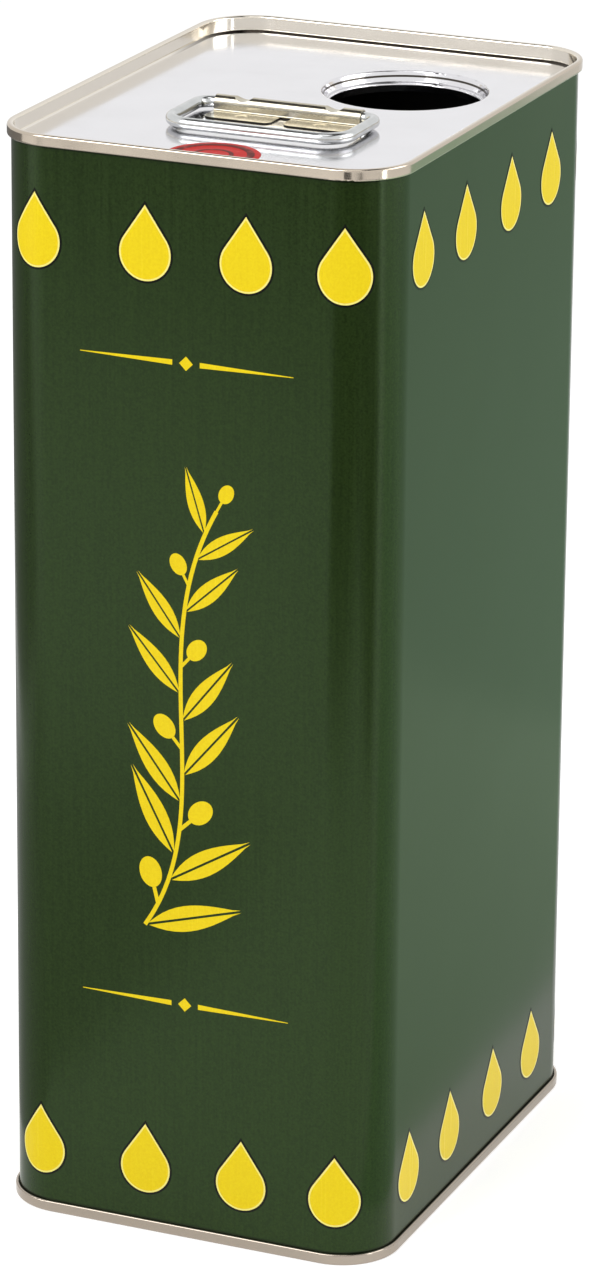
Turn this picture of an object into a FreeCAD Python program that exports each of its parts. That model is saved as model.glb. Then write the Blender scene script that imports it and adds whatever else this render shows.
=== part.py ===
import FreeCAD, Part

import math
import os
from collections import namedtuple

from FreeCAD import Vector

# Rectangular five litre oil tin, millimetres: +Z up, origin on the floor under its middle, printed face at -Y

# Body, measured over the outside of its wall
body_width = 114.0
body_depth = 153.0
tin_height = 312.0
corner_radius = 16.0
body_sheet = 0.28

# Lap weld that closes the body, down the middle of its back face
weld_width = 1.2
weld_rise = 0.12
weld_end_gap = 1.5

# Double seams that join the ends to the body
seam_height = 3.2
seam_top_bend = 0.55
seam_play = 0.1
hook_length = 1.5
compound_play = 0.02

# Ends
end_sheet = 0.28
countersink_depth = 4.5
countersink_bend = 1.0
panel_margin = 2.0

# Stiffening step of the base panel
step_inset = 5.0
step_bend = 1.5
step_turn = 45.0

# Mouth in the lid: a round neck, the ledge above it and the drawn-in wall that leads down to them
neck_radius = 21.0
neck_length = 1.8
ledge_run = 0.3
ledge_depth = 3.0
mouth_draft = 18.0
mouth_bend = 0.5
mouth_margin = 1.5
mouth_wall_gap = 13.9
mouth_back_gap = 25.7

# Bail wire
wire_radius = 1.65
wire_play = 0.2
bail_rest_gap = 0.5
bail_reach = 26.0
bail_overhang = 4.5
bail_back_bend = 4.0
bail_front_bend = 7.5
bail_tip_gap = 0.3

# Clip that holds the bail on the lid
clip_sheet = 0.4
clip_length = 43.0
clip_offset = 3.0
clip_mouth_gap = 8.6
clip_bend = 0.6
foot_run = 7.5
foot_corner = 2.5
foot_notch = 3.4
spot_radius = 2.0
spot_depth = 0.12
spot_floor_share = 0.7
stake_radius = 3.5
stake_depth = 1.2
stake_share = 0.31

# Round mark at the front of the lid
roundel_radius = 12.9
roundel_sheet = 0.15
roundel_offset = 0.6
roundel_wall_gap = 0.9

# Overrun of cuts, and angles
overrun = 1.0
quarter_turn = 90.0
half_turn = 180.0
full_turn = 360.0

# Layers of the seam, as distances of their middle lines outside the body wall
chuck_wall_at = -body_sheet - seam_play - end_sheet / 2
cover_hook_at = seam_play + end_sheet / 2
body_hook_at = 2 * seam_play + end_sheet + body_sheet / 2
seam_wall_at = 3 * seam_play + end_sheet + body_sheet + end_sheet / 2
body_hook_bend = (body_hook_at + body_sheet / 2) / 2
cover_hook_bend = (seam_wall_at - cover_hook_at) / 2

# Heights
panel_top = tin_height - countersink_depth
panel_middle = panel_top - end_sheet / 2
seam_top_middle = tin_height - end_sheet / 2
body_bend_at = tin_height - end_sheet - seam_play - body_sheet / 2 - body_hook_bend
body_hook_tip = body_bend_at - hook_length
cover_bend_at = tin_height - seam_height + end_sheet / 2 + cover_hook_bend
cover_hook_tip = cover_bend_at + hook_length
pivot_height = panel_top + wire_radius + bail_rest_gap

# Places on the lid
mouth_steep = quarter_turn - mouth_draft
mouth_slope = math.radians(mouth_steep)
mouth_wall_run = (ledge_depth - 2 * mouth_bend * (1 - math.cos(mouth_slope))) / math.sin(mouth_slope)
mouth_drawn_in = 2 * mouth_bend * math.sin(mouth_slope) + mouth_wall_run * math.cos(mouth_slope)
mouth_start = neck_radius + end_sheet / 2 + mouth_bend + ledge_run + mouth_drawn_in
mouth_x = body_width / 2 - mouth_wall_gap - mouth_start
mouth_y = body_depth / 2 - mouth_back_gap - mouth_start
tunnel_radius = wire_radius + wire_play
tunnel_middle = tunnel_radius + clip_sheet / 2
tunnel_outside = tunnel_radius + clip_sheet
foot_reach = tunnel_middle + clip_bend + foot_run
pivot_y = mouth_y - mouth_start - clip_mouth_gap - foot_reach
stake_at = stake_share * clip_length
bail_tip = stake_at + stake_radius + clip_sheet + bail_tip_gap
panel_flat_inset = countersink_bend - chuck_wall_at
roundel_y = panel_flat_inset + roundel_wall_gap + roundel_radius - body_depth / 2

origin = Vector(0, 0, 0)
right = Vector(1, 0, 0)
back = Vector(0, 1, 0)
up = Vector(0, 0, 1)

Run = namedtuple("Run", "length")
Bend = namedtuple("Bend", "radius turn")
Step = namedtuple("Step", "move start middle end centre heading end_heading")


def ray(heading):
    """Unit step in the plane of a section, outward at 0 and up at a quarter turn."""
    angle = math.radians(heading)
    return Vector(math.cos(angle), 0, math.sin(angle))


def walk(start, heading, moves):
    """Follow straight runs and bends, and give each one's ends, its middle and its bend centre."""
    steps = []
    here = start
    for move in moves:
        if isinstance(move, Run):
            there = here + ray(heading) * move.length
            steps.append(Step(move, here, (here + there) / 2, there, None, heading, heading))
        else:
            side = math.copysign(quarter_turn, move.turn)
            centre = here + ray(heading + side) * move.radius
            halfway = heading + move.turn / 2
            onward = heading + move.turn
            middle = centre - ray(halfway + side) * move.radius
            there = centre - ray(onward + side) * move.radius
            steps.append(Step(move, here, middle, there, centre, heading, onward))
            heading = onward
        here = there
    return steps


def sheet_section(start, heading, moves, sheet):
    """Face of a bent sheet, seen end on, from a walk along its middle line."""
    steps = walk(start, heading, moves)
    sides = []
    for offset in (sheet / 2, -sheet / 2):
        side = []
        for step in steps:
            begin = step.start + ray(step.heading + quarter_turn) * offset
            end = step.end + ray(step.end_heading + quarter_turn) * offset
            if step.centre is None:
                side.append(Part.LineSegment(begin, end).toShape())
            else:
                halfway = (step.heading + step.end_heading) / 2
                middle = step.middle + ray(halfway + quarter_turn) * offset
                side.append(Part.Arc(begin, middle, end).toShape())
        sides.append(side)
    first, last = steps[0], steps[-1]
    caps = []
    for point, facing in ((last.end, last.end_heading), (first.start, first.heading)):
        across = ray(facing + quarter_turn) * (sheet / 2)
        caps.append(Part.LineSegment(point + across, point - across).toShape())
    outline = sides[0] + [caps[0]] + sides[1][::-1] + [caps[1]]
    return Part.Face(Part.Wire(outline))


def around_tin(section):
    """Solid that a section standing on the right-hand wall makes when it is led once round the tin."""
    half_run_x = body_width / 2 - corner_radius
    half_run_y = body_depth / 2 - corner_radius
    run_back = back * (2 * half_run_y)
    run_left = right * (-2 * half_run_x)
    right_corner = Vector(half_run_x, half_run_y, 0)
    left_corner = right_corner + run_left
    at_front = section.translated(back * -half_run_y)
    at_right_corner = at_front.translated(run_back)
    at_back = at_right_corner.rotated(right_corner, up, quarter_turn)
    at_left_corner = at_back.translated(run_left)
    half = [
        at_front.extrude(run_back),
        at_right_corner.revolve(right_corner, up, quarter_turn),
        at_back.extrude(run_left),
        at_left_corner.revolve(left_corner, up, quarter_turn),
    ]
    other_half = [piece.rotated(origin, up, half_turn) for piece in half]
    return half[0].fuse(half[1:] + other_half)


def rounded_plate(low, high, radius, sheet):
    """Flat plate with round corners between two corners of its upper face."""
    edges = []
    corners = [(low.x, low.y), (high.x, low.y), (high.x, high.y), (low.x, high.y)]
    inward = [(radius, radius), (-radius, radius), (-radius, -radius), (radius, -radius)]
    arcs = []
    for index, ((x, y), (dx, dy)) in enumerate(zip(corners, inward)):
        centre = Vector(x + dx, y + dy, high.z)
        facing = half_turn + index * quarter_turn
        points = []
        for angle in (facing, facing + quarter_turn / 2, facing + quarter_turn):
            turn = math.radians(angle)
            points.append(centre + Vector(math.cos(turn), math.sin(turn), 0) * radius)
        arcs.append(points)
    for index, points in enumerate(arcs):
        edges.append(Part.Arc(*points).toShape())
        following = arcs[(index + 1) % len(arcs)]
        edges.append(Part.LineSegment(points[-1], following[0]).toShape())
    return Part.Face(Part.Wire(edges)).extrude(up * -sheet)


def inset_plate(inset, height):
    """Plate of the end sheet with the tin's outline, drawn in by an inset."""
    high = Vector(body_width / 2 - inset, body_depth / 2 - inset, height)
    low = Vector(-high.x, -high.y, height)
    return rounded_plate(low, high, corner_radius - inset, end_sheet)


def seat(outset, height):
    """Point of a section on the right-hand wall, by its distance outside the wall and its height."""
    return Vector(body_width / 2 + outset, 0, height)


def to_base(shape):
    """The same shape at the other end of the tin."""
    return shape.mirror(up * (tin_height / 2), up)


def seam_moves():
    """Bends of an end from its panel: up the wall, over the seam and back up as its hook."""
    return [
        Bend(countersink_bend, quarter_turn),
        Run(seam_top_middle - panel_middle - countersink_bend - seam_top_bend),
        Bend(seam_top_bend, -quarter_turn),
        Run(seam_wall_at - chuck_wall_at - 2 * seam_top_bend),
        Bend(seam_top_bend, -quarter_turn),
        Run(seam_top_middle - seam_top_bend - cover_bend_at),
        Bend(cover_hook_bend, -half_turn),
        Run(hook_length),
    ]


def body_shell():
    """One sheet: wall, a hook turned out and down at the top and out and up at the base, and the weld."""
    base_bend_at = tin_height - body_bend_at
    moves = [
        Run(hook_length),
        Bend(body_hook_bend, -half_turn),
        Run(body_bend_at - base_bend_at),
        Bend(body_hook_bend, -half_turn),
        Run(hook_length),
    ]
    start = seat(body_hook_at, base_bend_at + hook_length)
    shell = around_tin(sheet_section(start, -quarter_turn, moves, body_sheet))
    weld_foot = seam_height + weld_end_gap
    corner = Vector(-weld_width / 2, body_depth / 2 - body_sheet / 2, weld_foot)
    weld_height = tin_height - 2 * weld_foot
    weld = Part.makeBox(weld_width, body_sheet / 2 + weld_rise, weld_height, corner)
    return shell.fuse(weld)


def mouth_collar():
    """Ring drawn down from the lid: a leaning wall, a ledge for the closure's flange and a round neck."""
    moves = [
        Run(mouth_margin),
        Bend(mouth_bend, mouth_steep),
        Run(mouth_wall_run),
        Bend(mouth_bend, -mouth_steep),
        Run(ledge_run),
        Bend(mouth_bend, quarter_turn),
        Run(neck_length),
    ]
    start = Vector(mouth_start + mouth_margin, 0, panel_middle)
    ring = sheet_section(start, half_turn, moves, end_sheet).revolve(origin, up, full_turn)
    return ring.translated(Vector(mouth_x, mouth_y, 0))


def top_end():
    """Lid: a flat sunk panel with the mouth drawn into it, its wall and its seaming hook."""
    inset = panel_flat_inset + panel_margin
    moves = [Run(panel_margin)] + seam_moves()
    rim = around_tin(sheet_section(seat(-inset, panel_middle), 0, moves, end_sheet))
    hole_foot = Vector(mouth_x, mouth_y, panel_top - end_sheet - overrun)
    hole = Part.makeCylinder(mouth_start + mouth_margin, end_sheet + 2 * overrun, hole_foot)
    panel = inset_plate(inset, panel_top).cut(hole)
    return rim.fuse([panel, mouth_collar()]).removeSplitter()


def bottom_end():
    """Base: a sunk panel with a stiffening step, its wall and its seaming hook."""
    turn = math.radians(step_turn)
    step_run = 2 * step_bend * math.sin(turn)
    step_rise = 2 * step_bend * (1 - math.cos(turn))
    inset = panel_flat_inset + step_inset + step_run + panel_margin
    moves = [
        Run(panel_margin),
        Bend(step_bend, step_turn),
        Bend(step_bend, -step_turn),
        Run(step_inset),
    ]
    start = seat(-inset, panel_middle - step_rise)
    rim = around_tin(sheet_section(start, 0, moves + seam_moves(), end_sheet))
    panel = inset_plate(inset, panel_top - step_rise)
    return to_base(rim.fuse(panel).removeSplitter())


def bead(layer, thickness, tip, bend):
    """Section of a bead of compound: it fills the space past a hook's tip, as far as the bend it faces."""
    half_width = thickness / 2 + seam_play - compound_play
    corners = [
        seat(layer - half_width, tip),
        seat(layer + half_width, tip),
        seat(layer + half_width, bend),
        seat(layer - half_width, bend),
    ]
    return Part.Face(Part.makePolygon(corners + corners[:1]))


def top_seam_compound():
    """Two beads in the top seam, past the tip of each hook."""
    inner = bead(cover_hook_at, end_sheet, cover_hook_tip + compound_play, body_bend_at)
    outer = bead(body_hook_at, body_sheet, body_hook_tip - compound_play, cover_bend_at)
    return Part.makeCompound([around_tin(inner), around_tin(outer)])


def bottom_seam_compound():
    """The same two beads in the seam of the base."""
    return to_base(top_seam_compound())


def along_clip(radius, length):
    """Round bar on the pivot axis, centred on the clip."""
    foot = Vector(clip_offset - length / 2, pivot_y, pivot_height)
    return Part.makeCylinder(radius, length, foot, right)


def across_clip(radius, place, height):
    """Round bar over the clip from front to back, at a place along it."""
    length = 2 * tunnel_outside + 2 * overrun
    foot = Vector(clip_offset + place, pivot_y - length / 2, height)
    return Part.makeCylinder(radius, length, foot, back)


def clip_strip():
    """Bent strip: front foot, tunnel and rear foot, before its feet are trimmed."""
    leg = pivot_height - panel_top - clip_sheet / 2 - clip_bend
    moves = [
        Run(foot_run),
        Bend(clip_bend, quarter_turn),
        Run(leg),
        Bend(tunnel_middle, -half_turn),
        Run(leg),
        Bend(clip_bend, quarter_turn),
        Run(foot_run),
    ]
    start = Vector(pivot_y - foot_reach, 0, panel_top + clip_sheet / 2)
    section = sheet_section(start, 0, moves, clip_sheet).rotated(origin, up, quarter_turn)
    return section.translated(right * (clip_offset - clip_length / 2)).extrude(right * clip_length)


def clip_outline():
    """Plan of the clip: two round-cornered halves with a notch between, bridged by the tunnel."""
    top = tin_height
    deep = countersink_depth + overrun
    halves = []
    for side in (-1, 1):
        ends = sorted((side * foot_notch / 2, side * clip_length / 2))
        low = Vector(clip_offset + ends[0], pivot_y - foot_reach, top)
        high = Vector(clip_offset + ends[1], pivot_y + foot_reach, top)
        halves.append(rounded_plate(low, high, foot_corner, deep))
    half_bridge = tunnel_middle + clip_bend
    corner = Vector(clip_offset - clip_length / 2, pivot_y - half_bridge, top - deep)
    bridge = Part.makeBox(clip_length, 2 * half_bridge, deep, corner)
    return bridge.fuse(halves)


def handle_clip():
    """Clip welded to the lid: tunnel for the wire, two stakes beyond its tips and four welded feet."""
    clip = clip_strip().common(clip_outline())
    top = pivot_height + tunnel_outside
    legs_low = Vector(clip_offset - clip_length / 2, pivot_y - tunnel_outside, panel_top)
    legs = Part.makeBox(clip_length, 2 * tunnel_outside, pivot_height - panel_top, legs_low)
    filled = along_clip(tunnel_outside, clip_length).fuse(legs)
    for place in (-stake_at, stake_at):
        punch_height = top - stake_depth + stake_radius
        punch = across_clip(stake_radius, place, punch_height)
        dent = across_clip(stake_radius + clip_sheet, place, punch_height).cut(punch)
        clip = clip.cut(punch).fuse(dent.common(filled))
    floor_radius = spot_floor_share * spot_radius
    spot_x = (clip_length + foot_notch) / 4
    spot_y = foot_reach - foot_run / 2
    for x in (-spot_x, spot_x):
        for y in (-spot_y, spot_y):
            foot = Vector(clip_offset + x, pivot_y + y, panel_top + clip_sheet - spot_depth)
            clip = clip.cut(Part.makeCone(floor_radius, 2 * spot_radius - floor_radius, 2 * spot_depth, foot))
    return clip


def bail_handle():
    """Wire loop lying forward on the lid, with both tips inside the clip's tunnel."""
    half_width = clip_length / 2 + bail_overhang
    tip_run = half_width - bail_back_bend - bail_tip
    side_run = bail_reach - bail_back_bend - bail_front_bend
    moves = [
        Run(tip_run),
        Bend(bail_back_bend, -quarter_turn),
        Run(side_run),
        Bend(bail_front_bend, -quarter_turn),
        Run(2 * (half_width - bail_front_bend)),
        Bend(bail_front_bend, -quarter_turn),
        Run(side_run),
        Bend(bail_back_bend, -quarter_turn),
        Run(tip_run),
    ]
    pieces = []
    for step in walk(Vector(bail_tip, 0, 0), 0, moves):
        wire_end = Part.Face(Part.Wire(Part.makeCircle(wire_radius, step.start, ray(step.heading))))
        if step.centre is None:
            pieces.append(wire_end.extrude(step.end - step.start))
        else:
            pieces.append(wire_end.revolve(step.centre, -back, step.move.turn))
    loop = pieces[0].fuse(pieces[1:])
    laid = loop.rotated(origin, right, -quarter_turn)
    return laid.translated(Vector(clip_offset, pivot_y, pivot_height))


def lid_roundel():
    """Thin round mark lying on the lid, close behind the front wall."""
    return Part.makeCylinder(roundel_radius, roundel_sheet, Vector(roundel_offset, roundel_y, panel_top))


pieces = {
    "body_shell": body_shell(),
    "top_end": top_end(),
    "bottom_end": bottom_end(),
    "top_seam_compound": top_seam_compound(),
    "bottom_seam_compound": bottom_seam_compound(),
    "handle_clip": handle_clip(),
    "bail_handle": bail_handle(),
    "lid_roundel": lid_roundel(),
}
os.makedirs("parts", exist_ok=True)
for name, shape in pieces.items():
    shape.exportStep("parts/" + name + ".step")
    print(name, len(shape.Solids), "solid", round(shape.Volume), "cubic mm")
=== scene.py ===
import logging
import math
from dataclasses import KW_ONLY, dataclass
from enum import Enum
from typing import Any

import bmesh
import bpy
from mathutils import Matrix, Vector


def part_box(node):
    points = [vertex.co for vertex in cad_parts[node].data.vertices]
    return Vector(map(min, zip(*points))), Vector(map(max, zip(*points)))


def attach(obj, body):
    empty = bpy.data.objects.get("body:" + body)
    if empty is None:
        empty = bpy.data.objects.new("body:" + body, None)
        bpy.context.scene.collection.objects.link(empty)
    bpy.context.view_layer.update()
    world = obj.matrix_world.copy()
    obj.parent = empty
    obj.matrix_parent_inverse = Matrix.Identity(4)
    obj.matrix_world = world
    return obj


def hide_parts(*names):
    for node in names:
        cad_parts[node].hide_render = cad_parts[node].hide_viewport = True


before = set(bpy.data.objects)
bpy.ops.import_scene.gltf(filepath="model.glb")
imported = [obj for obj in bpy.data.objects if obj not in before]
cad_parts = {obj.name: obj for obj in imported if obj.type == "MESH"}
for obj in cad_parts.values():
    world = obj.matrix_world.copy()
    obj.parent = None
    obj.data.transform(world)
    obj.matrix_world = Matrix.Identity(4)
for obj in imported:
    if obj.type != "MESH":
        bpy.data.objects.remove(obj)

LOG = logging.getLogger("oil_tin")
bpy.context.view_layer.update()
MM = 0.001
QUARTER_TURN = math.pi / 2
# A colour Mix node's inputs go by number, because its other kinds have the same names
SHARE, FROM, TO = 0, 6, 7

Point = tuple[float, float]
Place = tuple[float, float, float]
Outline = list[Point]
Colour = tuple[float, float, float, float]
Material = bpy.types.Material
Mesh = bpy.types.Mesh
Node = bpy.types.Node
NodeTree = bpy.types.NodeTree
Piece = bpy.types.Object
Socket = bpy.types.NodeSocket


def linear(hex_colour: str) -> Colour:
    """Turns an sRGB hex colour to linear light.

    Args:
        hex_colour: six hex digits, with or without a leading hash

    Returns:
        Red, green, blue and an alpha of 1, in linear light.
    """
    digits = hex_colour.lstrip("#")
    light = []
    for i in (0, 2, 4):
        channel = int(digits[i:i + 2], 16) / 255
        light.append(channel / 12.92 if channel <= 0.04045 else ((channel + 0.055) / 1.055) ** 2.4)
    return (*light, 1.0)


def add_node(tree: NodeTree, kind: str, inputs: dict[str | int, Any] | None = None, **settings: Any) -> Node:
    """Adds a node with its settings, and fills or links its inputs.

    Args:
        tree: the tree that gets the node
        kind: the node's type name
        inputs: by input name or number, a value, an output socket, a node whose first live output is
            linked, or a list of nodes for an input that joins several
        settings: the node's own properties

    Returns:
        The new node.
    """
    node = tree.nodes.new(kind)
    for name, value in settings.items():
        setattr(node, name, value)
    for key, given in (inputs or {}).items():
        for value in given if isinstance(given, list) else [given]:
            if isinstance(value, Node):
                value = next(socket for socket in value.outputs if socket.enabled)
            if isinstance(value, Socket):
                tree.links.new(value, node.inputs[key])
            else:
                node.inputs[key].default_value = value
    return node


class Rolling(Enum):
    """Direction in which a sheet was rolled, as stretch factors of its fine lines along X, Y and Z."""

    ALONG_X = (0.02, 1.0, 1.0)
    ALONG_Y = (1.0, 0.02, 1.0)
    UPRIGHT = (1.0, 1.0, 0.02)


class DropRow(Enum):
    """Height of the drops' tips over the floor, for each printed row, in millimetres."""

    TOP = 296.1
    BASE = 32.0


class Look:
    """A material's shader tree, with the place on the part in metres for its patterns."""

    def __init__(self, name: str) -> None:
        """Starts an empty material.

        Args:
            name: the name of the real material
        """
        self.material = bpy.data.materials.new(name)
        self.material.use_nodes = True
        self.material.node_tree.nodes.clear()
        self.where = self.add("ShaderNodeTexCoord").outputs["Object"]
        self.axes = self.add("ShaderNodeSeparateXYZ", {0: self.where}).outputs

    def add(self, kind: str, inputs: dict[str | int, Any] | None = None, **settings: Any) -> Node:
        """Adds a node to this tree, as add_node does."""
        return add_node(self.material.node_tree, kind, inputs, **settings)

    def sized(self, size_mm: float) -> dict[str, Any]:
        """Inputs that put a pattern of this real size on the part."""
        return {"Vector": self.where, "Scale": 1 / (size_mm * MM)}

    def mottle(self, size_mm: float, detail: float, first: str, second: str) -> tuple[Node, Node]:
        """Adds soft patches that mix two tones.

        Args:
            size_mm: size of a patch in millimetres
            detail: number of finer layers in a patch
            first: the tone where the pattern is low
            second: the tone where it is high

        Returns:
            The node of the pattern and the node of the mixed tone.
        """
        pattern = self.add("ShaderNodeTexNoise", {**self.sized(size_mm), "Detail": detail})
        mixed = {SHARE: pattern, FROM: linear(first), TO: linear(second)}
        return pattern, self.add("ShaderNodeMix", mixed, data_type="RGBA")

    def away(self, centre: Point, half_sizes: Point) -> Node:
        """Adds the level distance from a rectangle, or from a point where it has no size.

        Args:
            centre: its middle in X and Y, in metres
            half_sizes: half its width and half its depth, in metres

        Returns:
            The node of the distance, in metres.
        """
        zero, last = (0.0, 0.0, 0.0), self.where
        for operation, other in (
            ("SUBTRACT", (*centre, 0.0)),
            ("MULTIPLY", (1.0, 1.0, 0.0)),
            ("ABSOLUTE", zero),
            ("SUBTRACT", (*half_sizes, 0.0)),
            ("MAXIMUM", zero),
            ("LENGTH", zero),
        ):
            last = self.add("ShaderNodeVectorMath", {0: last, 1: other}, operation=operation)
        return last

    def surface(self, inputs: dict[str, Any]) -> Material:
        """Ends the tree with the shader that has these inputs, and gives the material.

        Args:
            inputs: the shader's inputs by name

        Returns:
            The material.
        """
        shader = self.add("ShaderNodeBsdfPrincipled", inputs)
        self.add("ShaderNodeOutputMaterial", {"Surface": shader})
        return self.material


@dataclass(frozen=True)
class Finish:
    """A surface as it was made, with the name of its real material."""

    name: str


@dataclass(frozen=True)
class VarnishedPrint(Finish):
    """Offset ink on tinplate under a silk varnish: deep even colour, fine grain of the sheet, soft gloss,
    painted shade under the seams.
    """

    ink: str
    grain_ink: str
    _: KW_ONLY
    grain_mm: float = 0.6
    grain_depth_mm: float = 0.03
    grain_strength: float = 0.12
    cover: Point = (0.48, 0.92)
    line_mm: float = 0.7
    line_share: float = 0.4
    swell_mm: float = 45.0
    swell_depth_mm: float = 0.6
    swell_strength: float = 0.25
    roughness: float = 0.26
    roughness_spread: float = 0.04
    gloss_level: float = 0.15
    gloss_tint: str = "#ffffff"
    # Colour of the painted shade line where the wall meets each seam
    trap: str = "#0c1008"
    trap_mm: Point = (152.1, 152.5)
    half_height_mm: float = 156.0

    def material(self) -> Material:
        """Builds the material.

        Returns:
            The material.
        """
        look = Look(self.name)
        # Grain of the ink film, drawn at about half a millimetre so that it shows
        grain = look.add("ShaderNodeTexNoise", {**look.sized(self.grain_mm), "Detail": 2.0})
        # Rolling lines of the sheet below run up the wall, and show as faint streaks in the ink
        stretch = look.add("ShaderNodeMapping", {"Vector": look.where, "Scale": Rolling.UPRIGHT.value})
        lines = look.add("ShaderNodeTexNoise", {**look.sized(self.line_mm), "Vector": stretch})
        both = look.add("ShaderNodeMath", {0: lines, 1: self.line_share, 2: grain}, operation="MULTIPLY_ADD")
        thin, full = self.cover
        cover = look.add("ShaderNodeMapRange", {"Value": both, "From Min": thin, "From Max": full})
        inks = {SHARE: cover, FROM: linear(self.grain_ink), TO: linear(self.ink)}
        film = look.add("ShaderNodeMix", inks, data_type="RGBA")
        # A thin band of painted shade darkens the ink where the wall meets both seams, under their rolled
        # edges
        middle = self.half_height_mm * MM
        height = look.add("ShaderNodeMath", {0: look.axes["Z"], 1: middle}, operation="SUBTRACT")
        away = look.add("ShaderNodeMath", {0: height}, operation="ABSOLUTE")
        near, far = (at * MM for at in self.trap_mm)
        seam_shade_share = look.add("ShaderNodeMapRange", {"Value": away, "From Min": near, "From Max": far})
        inks = {SHARE: seam_shade_share, FROM: film, TO: linear(self.trap)}
        tone = look.add("ShaderNodeMix", inks, data_type="RGBA")
        # A wall of thin sheet is never quite flat: soft swells of a few centimetres bend its reflections
        swell = look.add("ShaderNodeTexNoise", {**look.sized(self.swell_mm), "Detail": 1.0})
        skin = {}
        for pattern, depth_mm, strength in (
            (swell, self.swell_depth_mm, self.swell_strength),
            (grain, self.grain_depth_mm, self.grain_strength),
        ):
            relief = {"Strength": strength, "Distance": depth_mm * MM, "Height": pattern, **skin}
            skin = {"Normal": look.add("ShaderNodeBump", relief)}
        low, high = self.roughness - self.roughness_spread, self.roughness + self.roughness_spread
        gloss = look.add("ShaderNodeMapRange", {"Value": lines, "To Min": low, "To Max": high})
        varnish = {"Specular IOR Level": self.gloss_level, "Specular Tint": linear(self.gloss_tint)}
        return look.surface({"Base Color": tone, "Roughness": gloss, **varnish, **skin})


@dataclass(frozen=True)
class BareMetal(Finish):
    """Bright bare metal: a mirror with patches that are duller and rougher."""

    bright: str
    dull: str
    _: KW_ONLY
    roughness: float = 0.16
    blur: Point = (0.03, 0.05)
    blur_range: Point = (0.3, 0.7)
    patch_mm: float = 18.0
    patch_detail: float = 4.0

    def tone(self, look: Look, own: Node) -> Node:
        """Gives the metal's own tone, over which other kinds lay theirs."""
        return own

    def coat(self, look: Look, pattern: Node, depth_mm: float, strength: float) -> Material:
        """Adds the fine relief, the patches and the shader.

        Args:
            look: the material's tree
            pattern: the pattern of the relief
            depth_mm: its depth in millimetres
            strength: how strongly it shows

        Returns:
            The material.
        """
        relief = {"Strength": strength, "Distance": depth_mm * MM, "Height": pattern}
        skin = look.add("ShaderNodeBump", relief)
        patches, own = look.mottle(self.patch_mm, self.patch_detail, self.bright, self.dull)
        low, high = self.blur_range
        less, more = self.blur
        ends = {"To Min": self.roughness - less, "To Max": self.roughness + more}
        rough = look.add("ShaderNodeMapRange", {"Value": patches, "From Min": low, "From Max": high, **ends})
        tone = self.tone(look, own)
        return look.surface({"Base Color": tone, "Metallic": 1.0, "Roughness": rough, "Normal": skin})


@dataclass(frozen=True)
class RolledTinplate(BareMetal):
    """Steel sheet with a bright tin coat: mirror-like, with hair lines along the rolling and dull patches."""

    rolling: Rolling
    _: KW_ONLY
    line_mm: float = 0.35
    line_depth_mm: float = 0.01
    line_strength: float = 0.1

    def material(self) -> Material:
        """Builds the material.

        Returns:
            The material.
        """
        look = Look(self.name)
        # Real rolling lines are some hundredths of a millimetre apart, so these are drawn coarser to show
        stretch = look.add("ShaderNodeMapping", {"Vector": look.where, "Scale": self.rolling.value})
        lines = look.add("ShaderNodeTexNoise", {**look.sized(self.line_mm), "Vector": stretch, "Detail": 3.0})
        return self.coat(look, lines, self.line_depth_mm, self.line_strength)


@dataclass(frozen=True)
class SeamedTinplate(RolledTinplate):
    """Tinplate of an end: bright panel, painted dark reflection line in its rear bend, pale wall, seam
    darkened as painted reflection.

    The zones go by their distance in millimetres from a rectangle inside the rounded outline.
    """

    _: KW_ONLY
    # The seam's tone is darker than the sheet's own: painted reflection of darker surroundings
    seam: str = "#c4b8a8"
    wall: str = "#e4ddd0"
    # Tone of the painted dark reflection line in the countersink bend
    groove: str = "#413b35"
    half_sizes_mm: Point = (41.0, 60.5)
    panel_mm: float = 14.25
    groove_mm: Point = (14.78, 0.48)
    groove_rear_mm: Point = (36.0, 66.0)
    wall_mm: Point = (15.22, 15.45)
    seam_mm: float = 16.6

    def tone(self, look: Look, own: Node) -> Node:
        """Lays the pale wall, the seam darkened as painted reflection and the painted dark reflection line
        over the sheet's own tone.

        Args:
            look: the material's tree
            own: the sheet's own tone

        Returns:
            The node of the whole tone.
        """
        wide, deep = self.half_sizes_mm
        away = look.away((0.0, 0.0), (wide * MM, deep * MM))
        inside, outside = self.panel_mm * MM, self.seam_mm * MM
        share = look.add("ShaderNodeMapRange", {"Value": away, "From Min": inside, "From Max": outside})
        # The ramp runs from the bright panel over the pale wall to the seam's tone, which is darkened as
        # painted reflection
        ramp = look.add("ShaderNodeValToRGB", {0: share})
        stops = ramp.color_ramp.elements
        for at in self.wall_mm:
            stops.new((at - self.panel_mm) / (self.seam_mm - self.panel_mm)).color = linear(self.wall)
        stops[0].color, stops[-1].color = linear(self.bright), linear(self.seam)
        rim = look.add("ShaderNodeMath", {0: away, 1: inside}, operation="GREATER_THAN")
        zones = look.add("ShaderNodeMix", {SHARE: rim, FROM: own, TO: ramp}, data_type="RGBA")
        # A painted dark reflection line in the countersink bend: full along the rear run, fading out along
        # the sides
        middle, half = (size * MM for size in self.groove_mm)
        line = look.add("ShaderNodeMath", {0: away, 1: middle, 2: half}, operation="COMPARE")
        faint, full = (at * MM for at in self.groove_rear_mm)
        rear = look.add("ShaderNodeMapRange", {"Value": look.axes["Y"], "From Min": faint, "From Max": full})
        dark = look.add("ShaderNodeMath", {0: line, 1: rear}, operation="MULTIPLY")
        mixed = {SHARE: dark, FROM: zones, TO: linear(self.groove)}
        return look.add("ShaderNodeMix", mixed, data_type="RGBA")


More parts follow.
